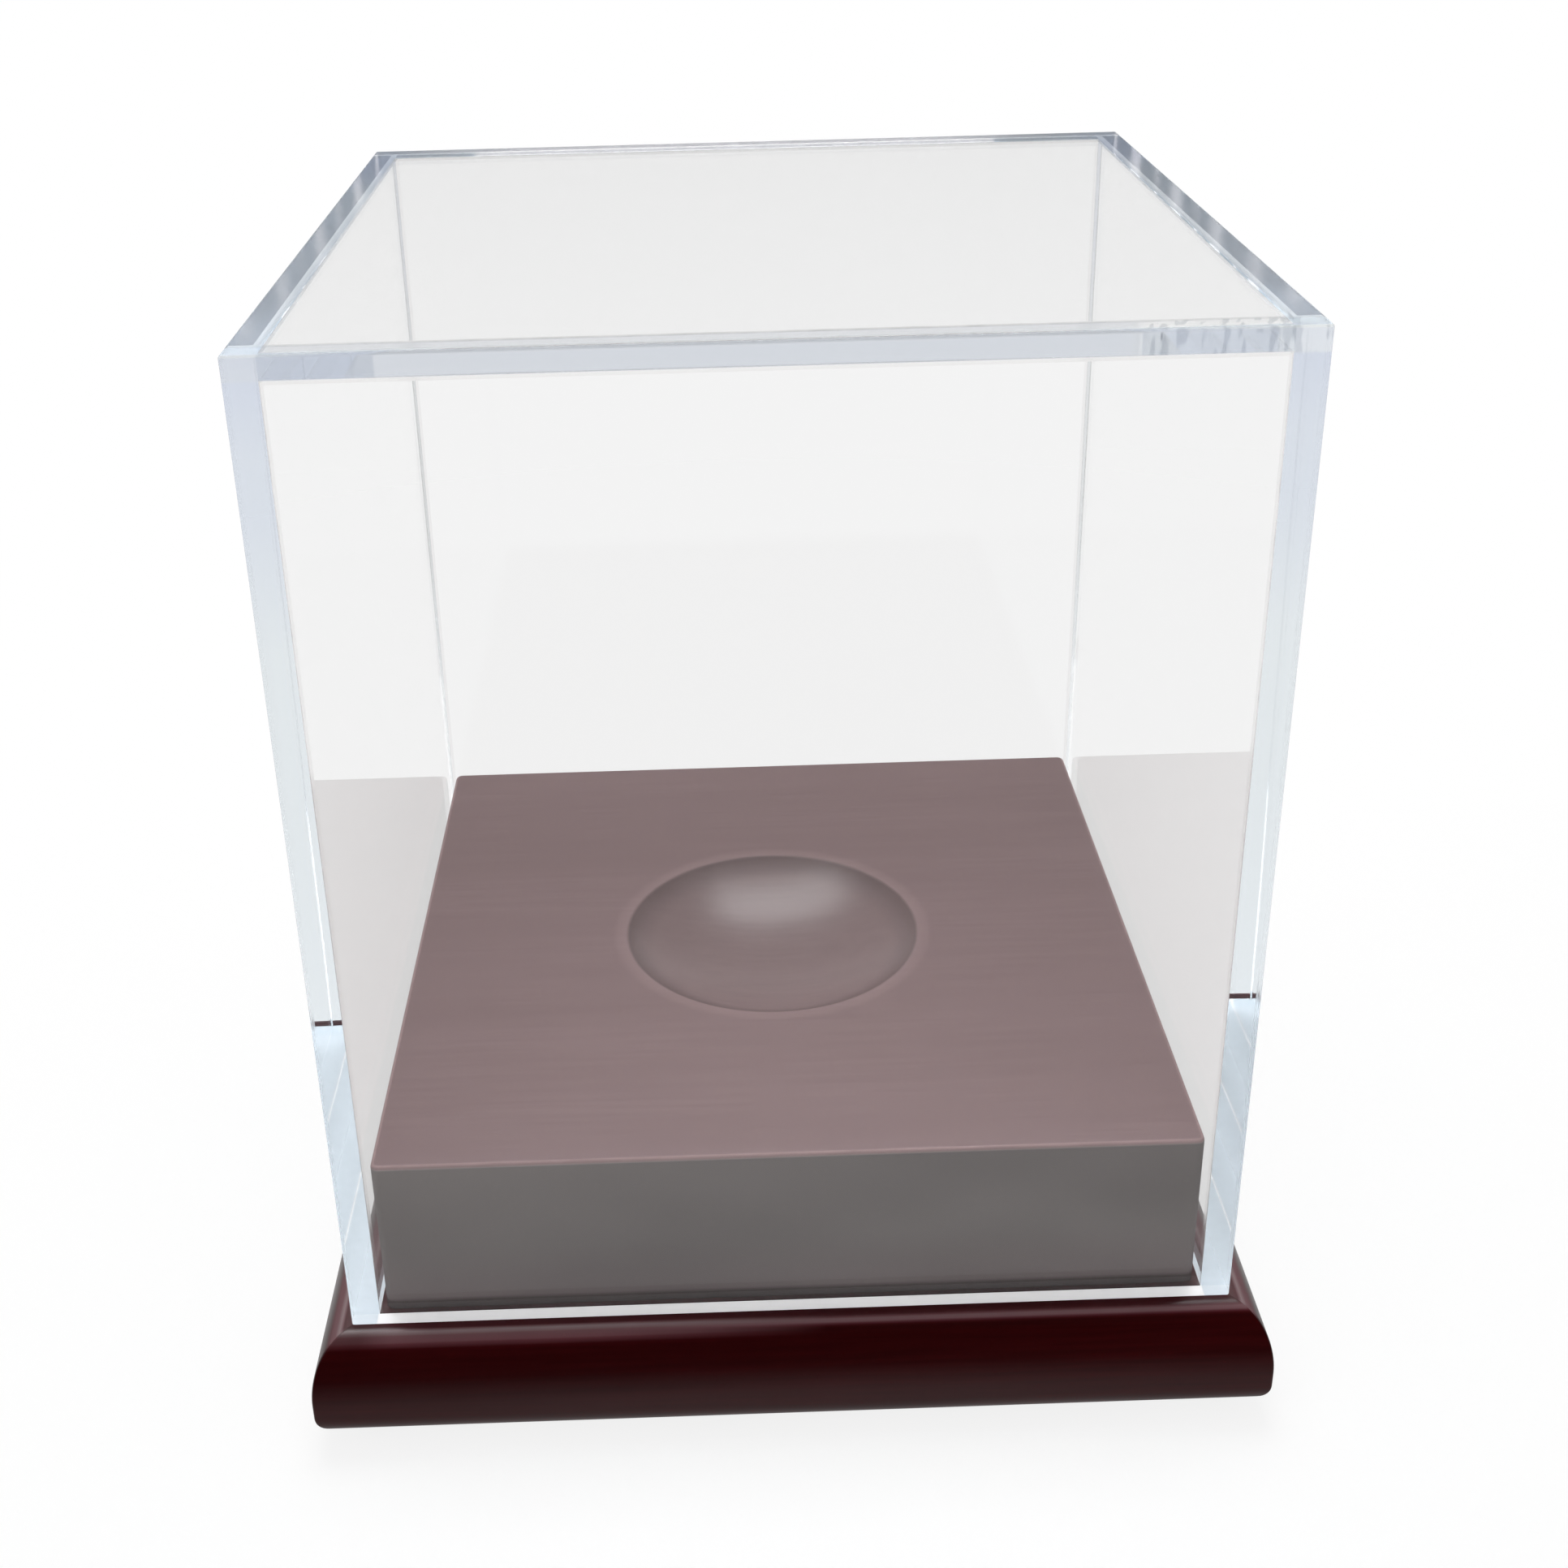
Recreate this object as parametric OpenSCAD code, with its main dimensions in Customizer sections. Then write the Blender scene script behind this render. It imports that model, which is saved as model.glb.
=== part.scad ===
// Display case for one baseball: a clear lift-off cover over a wooden base.
// Millimetres, +Z up, front to -Y, origin in the middle of the felt's underside.

/* [Cover] */
// Width of the cover, side to side
cover_w = 102; // [92:1:160]
// Depth of the cover, front to back
cover_d = 102; // [92:1:160]
// Height of the cover
cover_h = 115; // [105:1:180]
// Thickness of the clear sheet that its panels are sawn from
sheet_t = 3; // [2:0.5:5]
// Width of the broken edge all round the outside of the cover
edge_break = 0.3; // [0.2:0.1:0.8]

/* [Riser] */
// Gap between the riser and the cover's walls, on each side
cover_fit = 0.7; // [0.5:0.1:3]
// Height of the riser above the ledge
riser_h = 20.6; // [16:0.2:30]
// Radius of the riser's upright corners
riser_corner_r = 1; // [1:0.5:8]
// Radius of the riser's top edge
riser_edge_r = 0.5; // [0.2:0.1:0.9]

/* [Ball seat] */
// Diameter of the ball that the case is made for
ball_d = 74; // [70:0.5:78]
// Gap between the ball and the seat's sphere, on the radius
ball_fit = 0.5; // [0.2:0.1:1]
// Diameter of the seat's mouth
seat_d = 39; // [30:0.5:48]
// Width of the softened rim round the mouth
seat_rim = 0.4; // [0.2:0.1:1]

/* [Plinth] */
// Thickness of the plinth
plinth_h = 13.2; // [11:0.1:25]
// Width of the flat ledge outside the cover
ledge_w = 0.5; // [0.3:0.1:15]
// Width of the rolled upper edge
roll_w = 4.25; // [1:0.25:6]
// Height of the rolled upper edge
roll_h = 8; // [3:0.5:9]
// Radius of the lower edge
foot_r = 3.4; // [1:0.1:4]

/* [Screws] */
// Distance from the riser's sides to the screws' axes
screw_inset = 14; // [8:1:20]
// Diameter of a screw's shank
shank_d = 4; // [3:0.5:5]
// Diameter of the thread's core, inside the riser
core_d = 2.8; // [2:0.1:2.9]
// Diameter of the countersunk head
head_d = 8; // [7:0.5:10]
// Depth of the head's face above the plinth's underside
head_sink = 0.4; // [0.2:0.1:1]
// Depth that the screws reach into the riser
screw_bite = 12; // [8:1:14]
// Length of the screw's point
point_l = 3; // [1:0.5:5]
// Length of the drive's cross across the head
drive_l = 4.4; // [3:0.2:5]
// Width of the drive's cross
drive_w = 0.9; // [0.6:0.1:1.4]
// Depth of the drive's cross
drive_depth = 1.6; // [1:0.1:2]
// Gap round the shank in the plinth, on the radius
shank_fit = 0.25; // [0.1:0.05:0.5]
// Gap round the core in the riser, on the radius
pilot_fit = 0.05; // [0.02:0.01:0.1]
// Depth of the pilot hole past the screw's point
pilot_spare = 1; // [0.5:0.5:2]

/* [Felt] */
// Thickness of the felt
felt_t = 1; // [0.5:0.1:3]
// Distance from the plinth's edge to the felt
felt_inset = 4; // [4:0.5:12]
// Corner radius of the felt
felt_corner_r = 3; // [1:0.5:10]

/* [Hidden] */
$fn = 96;
// Straight steps in each quarter turn of a moulded edge
edge_steps = 12;
// How far a cut runs past the face it opens
cut_past = 0.1;

// Heights of the ledge, the riser's top and the cover's top
ledge_z = felt_t + plinth_h;
riser_top = ledge_z + riser_h;
cover_top = ledge_z + cover_h;

// Sizes in plan that follow from the cover
inner_w = cover_w - 2 * sheet_t;
inner_d = cover_d - 2 * sheet_t;
riser_w = inner_w - 2 * cover_fit;
riser_d = inner_d - 2 * cover_fit;
plinth_w = cover_w + 2 * (ledge_w + roll_w);
plinth_d = cover_d + 2 * (ledge_w + roll_w);

// The seat is part of a sphere that meets the riser's top in a circle of seat_d
seat_r = ball_d / 2 + ball_fit;
seat_z = riser_top + sqrt(pow(seat_r, 2) - pow(seat_d / 2, 2));

// A screw, measured up from its head's face
head_h = (head_d - shank_d) / 2;
head_z = felt_t + head_sink;
shank_top = ledge_z - head_z;
core_top = shank_top + screw_bite - point_l;

// Points [inset, z] of an upper edge that rolls over w inwards and h down from z = top
function rolled_edge(w, h, top) = [
    for (i = [0:edge_steps])
        let (a = 90 * i / edge_steps)
            [w * (1 - cos(a)), top - h * (1 - sin(a))]
];

// Points [inset, z] of a lower edge of radius r that starts at z = bottom
function foot_edge(r, bottom) = [
    for (i = [0:edge_steps])
        let (a = 90 * i / edge_steps)
            [r * (1 - sin(a)), bottom + r * (1 - cos(a))]
];

// Closed section of a slab of this width, from the points of its edge
function section(width, edge) = concat(
    [for (p = edge) [width / 2 - p[0], p[1]]],
    [for (i = [len(edge) - 1:-1:0]) [edge[i][0] - width / 2, edge[i][1]]]
);

// Slab whose edge runs round its four sides and its rounded corners
module moulded_slab(width, depth, corner_r, edge) {
    rotate([90, 0, 0])
        linear_extrude(depth - 2 * corner_r, center = true)
            polygon(section(width, edge));
    rotate([90, 0, 90])
        linear_extrude(width - 2 * corner_r, center = true)
            polygon(section(depth, edge));
    for (x = [0, 1], y = [0, 1])
        mirror([x, 0, 0])
            mirror([0, y, 0])
                translate([width / 2 - corner_r, depth / 2 - corner_r, 0])
                    rotate_extrude(angle = 90)
                        polygon(concat(
                            [[0, edge[len(edge) - 1][1]], [0, edge[0][1]]],
                            [for (p = edge) [corner_r - p[0], p[1]]]
                        ));
}

// Slab whose edge meets itself in a mitre at the four corners
module mitred_slab(width, depth, edge) {
    intersection() {
        rotate([90, 0, 0])
            linear_extrude(depth, center = true)
                polygon(section(width, edge));
        rotate([90, 0, 90])
            linear_extrude(width, center = true)
                polygon(section(depth, edge));
    }
}

// Its children at the four screws' axes
module at_screws() {
    for (x = [-1, 1], y = [-1, 1])
        translate([x * (riser_w / 2 - screw_inset), y * (riser_d / 2 - screw_inset), 0])
            children();
}

// Through hole and countersink for one screw, in the plinth
module screw_hole() {
    hole_r = shank_d / 2 + shank_fit;
    sink_r = head_d / 2 + shank_fit;
    translate([0, 0, felt_t - cut_past])
        cylinder(h = plinth_h + 2 * cut_past, r = hole_r);
    translate([0, 0, felt_t - cut_past])
        cylinder(h = head_sink + cut_past, r = sink_r);
    translate([0, 0, head_z])
        cylinder(h = head_h, r1 = sink_r, r2 = hole_r);
}

// Countersunk wood screw with its point up; the thread is left as its core
module screw() {
    difference() {
        union() {
            cylinder(h = head_h, r1 = head_d / 2, r2 = shank_d / 2);
            translate([0, 0, head_h])
                cylinder(h = shank_top - head_h, d = shank_d);
            translate([0, 0, shank_top])
                cylinder(h = core_top - shank_top, d = core_d);
            translate([0, 0, core_top])
                cylinder(h = point_l, r1 = core_d / 2, r2 = core_d / 12);
        }
        for (turn = [0, 90])
            rotate(turn)
                translate([-drive_l / 2, -drive_w / 2, -cut_past])
                    cube([drive_l, drive_w, drive_depth + cut_past]);
    }
}

// Rectangle on the axis with its four corners cut off by edge_break
module broken_square(width, height) {
    b = edge_break;
    x = width / 2;
    translate([0, height / 2])
        polygon([
            for (s = [[1, 1], [-1, 1], [-1, -1], [1, -1]])
                for (cut = s[0] * s[1] > 0 ? [[0, b], [b, 0]] : [[b, 0], [0, b]])
                    [s[0] * (x - cut[0]), s[1] * (height / 2 - cut[1])]
        ]);
}

// Outside shape of the closed cover, every edge broken
module cover_block() {
    translate([0, 0, ledge_z])
        intersection() {
            translate([0, -cover_d / 2, 0])
                linear_extrude(cover_h)
                    broken_square(cover_w, cover_d);
            rotate([90, 0, 0])
                linear_extrude(cover_d, center = true)
                    broken_square(cover_w, cover_h);
            rotate([90, 0, 90])
                linear_extrude(cover_w, center = true)
                    broken_square(cover_d, cover_h);
        }
}

// Front or back panel: the full width and height of the cover
module end_panel(side) {
    intersection() {
        cover_block();
        translate([-cover_w / 2, side * (cover_d - sheet_t) / 2 - sheet_t / 2, ledge_z])
            cube([cover_w, sheet_t, cover_h]);
    }
}

// Left or right panel: full height, between the front and back panels
module side_panel(side) {
    intersection() {
        cover_block();
        translate([side * (cover_w - sheet_t) / 2 - sheet_t / 2, -inner_d / 2, ledge_z])
            cube([sheet_t, inner_d, cover_h]);
    }
}

module plinth() {
    color([0.16, 0.04, 0.05])
        difference() {
            mitred_slab(plinth_w, plinth_d,
                concat(foot_edge(foot_r, felt_t), rolled_edge(roll_w, roll_h, ledge_z)));
            at_screws()
                screw_hole();
        }
}

module riser_block() {
    color([0.36, 0.28, 0.28])
        difference() {
            moulded_slab(riser_w, riser_d, riser_corner_r,
                concat([[0, ledge_z]], rolled_edge(riser_edge_r, riser_edge_r, riser_top)));
            translate([0, 0, seat_z])
                sphere(r = seat_r);
            translate([0, 0, riser_top - seat_rim])
                cylinder(h = seat_rim + cut_past, r1 = seat_d / 2 - seat_rim / 2,
                    r2 = seat_d / 2 + seat_rim / 2 + cut_past);
            at_screws()
                translate([0, 0, ledge_z - cut_past])
                    cylinder(h = screw_bite + pilot_spare + cut_past, r = core_d / 2 + pilot_fit);
        }
}

module riser_screws() {
    color([0.72, 0.72, 0.74])
        at_screws()
            translate([0, 0, head_z])
                screw();
}

module base_felt() {
    color([0.09, 0.10, 0.10])
        moulded_slab(plinth_w - 2 * felt_inset, plinth_d - 2 * felt_inset, felt_corner_r,
            [[0, 0], [0, felt_t]]);
}

module front_panel() {
    color([0.90, 0.93, 0.95, 0.35])
        end_panel(-1);
}

module back_panel() {
    color([0.90, 0.93, 0.95, 0.35])
        end_panel(1);
}

module left_panel() {
    color([0.90, 0.93, 0.95, 0.35])
        side_panel(-1);
}

module right_panel() {
    color([0.90, 0.93, 0.95, 0.35])
        side_panel(1);
}

// Set inside the four walls, its face flush with their ends
module top_panel() {
    color([0.90, 0.93, 0.95, 0.35])
        translate([-inner_w / 2, -inner_d / 2, cover_top - sheet_t])
            cube([inner_w, inner_d, sheet_t]);
}

plinth();
riser_block();
riser_screws();
base_felt();
front_panel();
back_panel();
left_panel();
right_panel();
top_panel();
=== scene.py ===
"""Display case for one baseball: a clear bonded cover that lifts off a lacquered wooden base.

Every piece is a surface worked out from the frame's sizes and a few named values. Lengths are in metres.
"""
import math

import bpy
import numpy as np
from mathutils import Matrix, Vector


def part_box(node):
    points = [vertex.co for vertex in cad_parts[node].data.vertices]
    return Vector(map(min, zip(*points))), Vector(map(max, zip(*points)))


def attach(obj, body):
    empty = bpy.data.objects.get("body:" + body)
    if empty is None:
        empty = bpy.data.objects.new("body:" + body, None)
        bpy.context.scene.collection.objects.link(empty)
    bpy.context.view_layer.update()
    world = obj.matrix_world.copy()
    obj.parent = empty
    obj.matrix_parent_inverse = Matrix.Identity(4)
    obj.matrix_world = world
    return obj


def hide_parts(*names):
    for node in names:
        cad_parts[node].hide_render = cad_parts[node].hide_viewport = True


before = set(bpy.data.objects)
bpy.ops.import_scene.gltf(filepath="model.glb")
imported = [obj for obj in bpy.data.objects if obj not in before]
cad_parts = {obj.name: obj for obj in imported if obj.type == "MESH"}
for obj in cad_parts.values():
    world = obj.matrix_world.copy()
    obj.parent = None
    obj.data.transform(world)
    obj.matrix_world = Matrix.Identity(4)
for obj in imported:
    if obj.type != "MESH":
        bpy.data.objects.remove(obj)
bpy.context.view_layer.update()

bl_info = {
    "name": "Baseball Display Case",
    "version": (1, 0, 0),
    "blender": (4, 5, 0),
    "location": "3D View > Sidebar > Display Case",
    "description": "Builds a clear cover on a lacquered wooden base with a ball seat",
    "category": "Add Mesh",
}

MM = 0.001
# Half the width inside the cover
INNER_HALF = 48 * MM
# Points nearer than this, in metres, touch
TOUCHING = 1e-9
# The finishes of a sheet's faces, in the order of its materials
POLISHED, BONDED, SAWN, BEAD, END, BACK_END = range(6)
# The cover's sheets and the solids that they stand for
WALLS = {
    "front_sheet": "front_panel",
    "back_sheet": "back_panel",
    "left_sheet": "left_panel",
    "right_sheet": "right_panel",
    "top_sheet": "top_panel",
}


def length_property(name, description, default, **limits):
    """A length that a user can change."""
    limits.setdefault("precision", 5)
    return bpy.props.FloatProperty(
        name=name, description=description, default=default, unit="LENGTH", **limits)


def colour_property(name, description, default):
    """A colour that a user can change."""
    return bpy.props.FloatVectorProperty(
        name=name, description=description, default=default, min=0.0, max=1.0, size=3, subtype="COLOR")


class CoverSettings(bpy.types.PropertyGroup):
    """Sizes and finish of the clear cover"""

    edge_radius: length_property(
        "Edge Radius", "Radius of the polished edges all round the outside",
        0.3 * MM, min=0.1 * MM, max=1.0 * MM)
    bond_line: length_property(
        "Bond Line", "Thickness of the solvent bond between two sheets",
        0.004 * MM, min=0.002 * MM, max=0.1 * MM, precision=6)
    refraction: bpy.props.FloatProperty(
        name="Refractive Index",
        description="Refractive index of the acrylic",
        default=1.49,
        min=1.3,
        max=1.7,
    )
    clearness: bpy.props.FloatProperty(
        name="Clearness",
        description="Share of the mirrored light that goes through a face instead",
        default=0.55,
        min=0.0,
        max=1.0,
        subtype="FACTOR",
    )
    sheet_colour: colour_property(
        "Sheet Colour", "Tint that light takes up in passing through a sheet",
        (0.955, 0.955, 0.955))
    # Partly the tint of light along a sheet's length, partly painted shade: it darkens the narrow ends at
    # the top of the cover.
    end_tint_and_shade: colour_property(
        "End Colour", "Tint that light takes up in passing through the narrow ends of the sheets",
        (0.228, 0.2325, 0.26))
    # Painted shade: a dark tint on the top sheet's back strip, for the look of the bonded back sheet through
    # it.
    painted_margin_shade: colour_property(
        "Back Margin Colour",
        "Tint of the top sheet along its back edge, where the bonded sheet shows through it",
        (0.33, 0.33, 0.34))
    bead_width: length_property(
        "Bead Width", "Width of the line of dried solvent along each joint",
        0.4 * MM, min=0.1 * MM, max=1.0 * MM)
    bead_colour: colour_property("Bead Colour", "Tint of the line of dried solvent", (0.85, 0.84, 0.84))
    # Painted glow: the sawn ends emit light, which stands in for light led down inside the sheets.
    painted_edge_glow: bpy.props.FloatProperty(
        name="Edge Glow",
        description="Brightness that the sawn ends get from light led down inside the sheets",
        default=0.33,
        min=0.0,
        max=0.5,
    )
    bubble_start: length_property(
        "Bubble Start",
        "Where the row of bubbles in the top sheet's front bond begins, from the middle to the right",
        33.5 * MM)
    top_bond_height: length_property(
        "Top Bond Height", "Height above which the bonds are the top sheet's",
        126.1 * MM)
    top_bond_colour: colour_property(
        "Top Bond Colour", "Tint that light takes up in passing into the top sheet",
        (0.915, 0.925, 0.94))
    bond_colour: colour_property(
        "Bond Colour", "Tint that light takes up in passing from sheet to sheet",
        (0.972, 0.984, 0.989))
    sawn_colour: colour_property(
        "Sawn Edge Colour", "Colour of the front and back sheets' sawn ends that stand on the plinth",
        (0.97, 0.97, 0.975))
    # Partly the tint of the sheet's length, partly painted shade; it also colours the side sheets' painted
    # glow.
    side_sawn_tint_and_shade: colour_property(
        "Side Sawn Edge Colour",
        "Colour of the side sheets' sawn ends, whose light has come the length of the sheet",
        (0.68, 0.745, 0.80))


class BaseSettings(bpy.types.PropertyGroup):
    """Sizes and finish of the plinth, the riser, the screws and the felt"""

    roll_width: length_property(
        "Roll Width", "How far the plinth's upper edge rolls over inwards",
        4.25 * MM)
    roll_height: length_property("Roll Height", "How far the plinth's upper edge rolls down", 8.0 * MM)
    foot_radius: length_property("Foot Radius", "Radius of the plinth's lower edge", 3.4 * MM)
    plinth_corner: length_property(
        "Plinth Corner", "Radius of the plinth's mitred corners, seen from above",
        0.4 * MM)
    riser_corner: length_property("Riser Corner", "Radius of the riser's upright corners", 1.0 * MM)
    riser_edge: length_property("Riser Edge", "Radius of the riser's top edge", 0.5 * MM)
    seat_radius: length_property(
        "Seat Radius", "Radius of the sphere that the ball's seat is part of",
        37.5 * MM)
    seat_mouth: length_property(
        "Seat Mouth", "Diameter of the seat where it meets the riser's top",
        39.0 * MM)
    wood_dark: colour_property(
        "Dark Wood", "Colour of the darker grain of the stained wood",
        (0.020, 0.0008, 0.0012))
    # Painted sheen: a pale colour added to the plinth's ledge and the top of its roll, standing in for a
    # reflection.
    painted_sheen_colour: colour_property(
        "Haze Colour", "Colour that the haze of polish adds to the plinth's ledge and the top of its roll",
        (0.20, 0.155, 0.16))
    wood_light: colour_property(
        "Light Wood", "Colour of the lighter grain of the stained wood",
        (0.032, 0.0016, 0.0022))
    riser_dark: colour_property("Riser Dark", "Colour of the riser's darker grain", (0.166, 0.118, 0.118))
    riser_light: colour_property("Riser Light", "Colour of the riser's lighter grain", (0.184, 0.132, 0.132))
    # Painted light: the riser's sides take a tone of their own for how light falls on them.
    riser_side_painted_light: colour_property("Riser Side", "Colour of the riser's upright sides", (0.210, 0.193, 0.188))
    felt_colour: colour_property("Felt Colour", "Colour of the felt under the plinth", (0.018, 0.024, 0.022))


class StageSettings(bpy.types.PropertyGroup):
    """The floor, the lamps and the camera"""

    lens: bpy.props.FloatProperty(
        name="Lens",
        description="Focal length of the camera, in millimetres on a 36 mm sensor",
        default=45.28,
    )
    camera_place: bpy.props.FloatVectorProperty(
        name="Camera Place",
        description="Where the camera stands",
        default=(-0.00681, -0.22683, 0.17758),
        size=3,
        subtype="TRANSLATION",
    )
    camera_turn: bpy.props.FloatVectorProperty(
        name="Camera Turn",
        description="How the camera is turned",
        default=(math.radians(64.475), math.radians(1.289), math.radians(-1.376)),
        size=3,
        subtype="EULER",
    )
    camera_shift: bpy.props.FloatVectorProperty(
        name="Camera Shift",
        description="How far the photograph's frame is off the lens's axis, in frame widths",
        default=(0.0294, -0.0574),
        size=2,
    )
    overhead_power: bpy.props.FloatProperty(
        name="Overhead Power",
        description="Power of the soft lamp above the case",
        default=5.6,
        unit="POWER",
    )
    world_strength: bpy.props.FloatProperty(
        name="Surroundings",
        description="Brightness of the room's light from all round",
        default=0.95,
        min=0.0,
        max=2.0,
    )


def mesh_piece(name, points, faces, materials, face_material=None, smooth=True):
    """Makes a mesh object at the origin from an array of points and a list of faces."""
    mesh = bpy.data.meshes.new(name)
    mesh.from_pydata(points.tolist(), [], faces)
    for material in materials:
        mesh.materials.append(material)
    flags = np.broadcast_to(np.asarray(smooth, bool), len(faces))
    mesh.polygons.foreach_set("use_smooth", np.ascontiguousarray(flags))
    if face_material is not None:
        mesh.polygons.foreach_set("material_index", face_material.astype(np.int32))
    mesh.update()
    piece = bpy.data.objects.new(name, mesh)
    bpy.context.scene.collection.objects.link(piece)
    return piece


def place_in_frame(piece, body, solid):
    """Says which body a piece moves with, and hides the solid that it stands for."""
    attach(piece, body)
    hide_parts(solid)


def corners_of(solid):
    """The lowest and the highest corner of a solid at rest, as arrays."""
    return [np.array(corner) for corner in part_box(solid)]


def merged(points, faces):
    """Joins points that share a place, to a thousandth of a millimetre."""
    keys = np.round(points / (0.001 * MM)).astype(np.int64)
    first, inverse = np.unique(keys, axis=0, return_index=True, return_inverse=True)[1:]
    return points[first], inverse.reshape(-1)[faces]


def ring_faces(rows, columns):
    """Quads between neighbouring rings of a closed surface, and one face over each end ring."""
    index = np.arange(rows * columns).reshape(rows, columns)
    after = np.roll(index, -1, axis=1)
    quads = np.stack([index[:-1], after[:-1], after[1:], index[1:]], axis=-1).reshape(-1, 4)
    return quads.tolist() + [index[0][::-1].tolist(), index[-1].tolist()]


def ring_piece(name, rings, material):
    """A closed surface through rings of points, given from the bottom of the piece up and anticlockwise."""
    rows, columns = rings.shape[:2]
    return mesh_piece(name, rings.reshape(-1, 3), ring_faces(rows, columns), [material])


def rounded_rectangle(half, corner, inset, least=0.15 * MM, corner_steps=8, side_steps=1):
    """Points round a rectangle with quarter circles at its corners, moved in by inset.

    Each corner is its centre plus a radius times (cos a, sin a), with a from 0 to 90 degrees and
    turned with the corner. The centre stands one radius in from both sides, and the radius shrinks
    with the inset down to the least one. Each side is cut into side_steps equal lengths.
    """
    radius = max(corner - inset, least)
    centre = np.asarray(half) - inset - radius
    turns = np.radians(np.linspace(0, 90, corner_steps + 1))
    arcs = []
    for quarter, sign in enumerate([(1, 1), (-1, 1), (-1, -1), (1, -1)]):
        angle = turns + quarter * math.pi / 2
        arcs.append(centre * sign + radius * np.stack([np.cos(angle), np.sin(angle)], axis=-1))
    along = np.linspace(0, 1, side_steps + 1)[1:-1, None]
    path = []
    for quarter, arc in enumerate(arcs):
        follows = arcs[(quarter + 1) % 4]
        path += [arc, arc[-1] + (follows[0] - arc[-1]) * along]
    return np.concatenate(path)


def carried_round(half, corner, profile, **steps):
    """Rings of a profile of (inset, height) pairs carried round a rounded rectangle."""
    return np.stack([
        np.column_stack([ring := rounded_rectangle(half, corner, inset, **steps), np.full(len(ring), z)])
        for inset, z in profile
    ])


def quarter(start, end, steps, hollow=False):
    """Points of a quarter ellipse from start to end, both as (inset, height).

    It leaves start upright and reaches end level: inset runs as 1 - cos a and height as sin a.
    A hollow one leaves start level and reaches end upright.
    """
    a = np.radians(np.linspace(0, 90, steps + 1))
    start, end = np.asarray(start), np.asarray(end)
    share = np.stack([1 - np.cos(a), np.sin(a)], axis=-1)
    if hollow:
        share = share[:, ::-1]
    return start + (end - start) * share


def node(tree, kind, inputs=None, **settings):
    """Adds a shader node with these settings and these values or links on its inputs."""
    made = tree.nodes.new(kind)
    for name, value in settings.items():
        setattr(made, name, value)
    for name, value in (inputs or {}).items():
        if isinstance(value, bpy.types.NodeSocket):
            tree.links.new(value, made.inputs[name])
        else:
            made.inputs[name].default_value = value
    return made


def maths(tree, how, *values, **settings):
    """A number worked out from these values in this way."""
    return node(tree, "ShaderNodeMath", dict(enumerate(values)), operation=how, **settings).outputs[0]


def ranged(tree, value, low, high, to_low=0.0, to_high=1.0, **settings):
    """A number taken from the range low to high into the range to_low to to_high, and held inside it."""
    inputs = {"Value": value, "From Min": low, "From Max": high, "To Min": to_low, "To Max": to_high}
    return node(tree, "ShaderNodeMapRange", inputs, **settings).outputs[0]


def blended(tree, how, first, second, share=1.0):
    """Two colours mixed in this way."""
    inputs = {0: share, 6: first, 7: second}
    return node(tree, "ShaderNodeMix", inputs, data_type="RGBA", blend_type=how).outputs[2]


def ramp(tree, along, stops):
    """A colour that follows a value, straight between stops (value, colour)."""
    (low, first), *between, (high, last) = stops
    made = node(tree, "ShaderNodeValToRGB", {0: ranged(tree, along, low, high)})
    elements = made.color_ramp.elements
    elements[0].color, elements[1].color = opaque(first), opaque(last)
    for value, colour in between:
        elements.new((value - low) / (high - low)).color = opaque(colour)
    return made.outputs["Color"]


def factors(tree, along, stops):
    """The same as a ramp, for stops (value, factor)."""
    return ramp(tree, along, [(value, (factor,) * 3) for value, factor in stops])


def shaded(tree, colour, along, stops):
    """A colour made darker or lighter by factors at stops (value, factor) along a value."""
    most = max(factor for _, factor in stops)
    shares = factors(tree, along, [(value, factor / most) for value, factor in stops])
    scaled = node(tree, "ShaderNodeVectorMath", {0: shares, "Scale": most}, operation="SCALE").outputs[0]
    return blended(tree, "MULTIPLY", colour, scaled)


def object_place(tree):
    """The object coordinates."""
    return node(tree, "ShaderNodeTexCoord").outputs["Object"]


def axes_of(tree, place):
    """The X, Y and Z of a place, by name."""
    return node(tree, "ShaderNodeSeparateXYZ", {0: place}).outputs


def noise(tree, scale, **inputs):
    """Noise in object coordinates stretched by a scale along each axis, as repeats per metre."""
    place = node(tree, "ShaderNodeMapping", {"Vector": object_place(tree), "Scale": scale}).outputs[0]
    return node(tree, "ShaderNodeTexNoise", {"Vector": place, "Scale": 1.0, **inputs}).outputs["Fac"]


def bump(tree, height, strength, distance):
    """The normal of a surface that rises and falls with a height."""
    inputs = {"Height": height, "Strength": strength, "Distance": distance}
    return node(tree, "ShaderNodeBump", inputs).outputs["Normal"]


def mixed(tree, share, first, second):
    """Two shaders mixed."""
    return node(tree, "ShaderNodeMixShader", {0: share, 1: first.outputs[0], 2: second.outputs[0]})


def new_material(name):
    """A material with an empty node tree."""
    material = bpy.data.materials.new(name)
    material.use_nodes = True
    material.node_tree.nodes.clear()
    return material, material.node_tree


def show(tree, shader, output="ShaderNodeOutputMaterial"):
    """Puts a shader on the surface."""
    node(tree, output, {"Surface": shader.outputs[0]})


def opaque(colour):
    """A colour property as four numbers."""
    return (*colour, 1.0)


def lit_through(tree, shader, tint):
    """A sheet's shader, but the lamps' light goes straight through it and takes up a tint."""
    shadow = node(tree, "ShaderNodeLightPath").outputs["Is Shadow Ray"]
    return mixed(tree, shadow, shader, node(tree, "ShaderNodeBsdfTransparent", {"Color": opaque(tint)}))


def mirrored_ray(tree, path):
    """1 on a ray that has just been mirrored, and 0 on one that has just passed through a sheet."""
    return maths(tree, "SUBTRACT", path["Is Glossy Ray"], path["Is Transmission Ray"], use_clamp=True)


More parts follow.
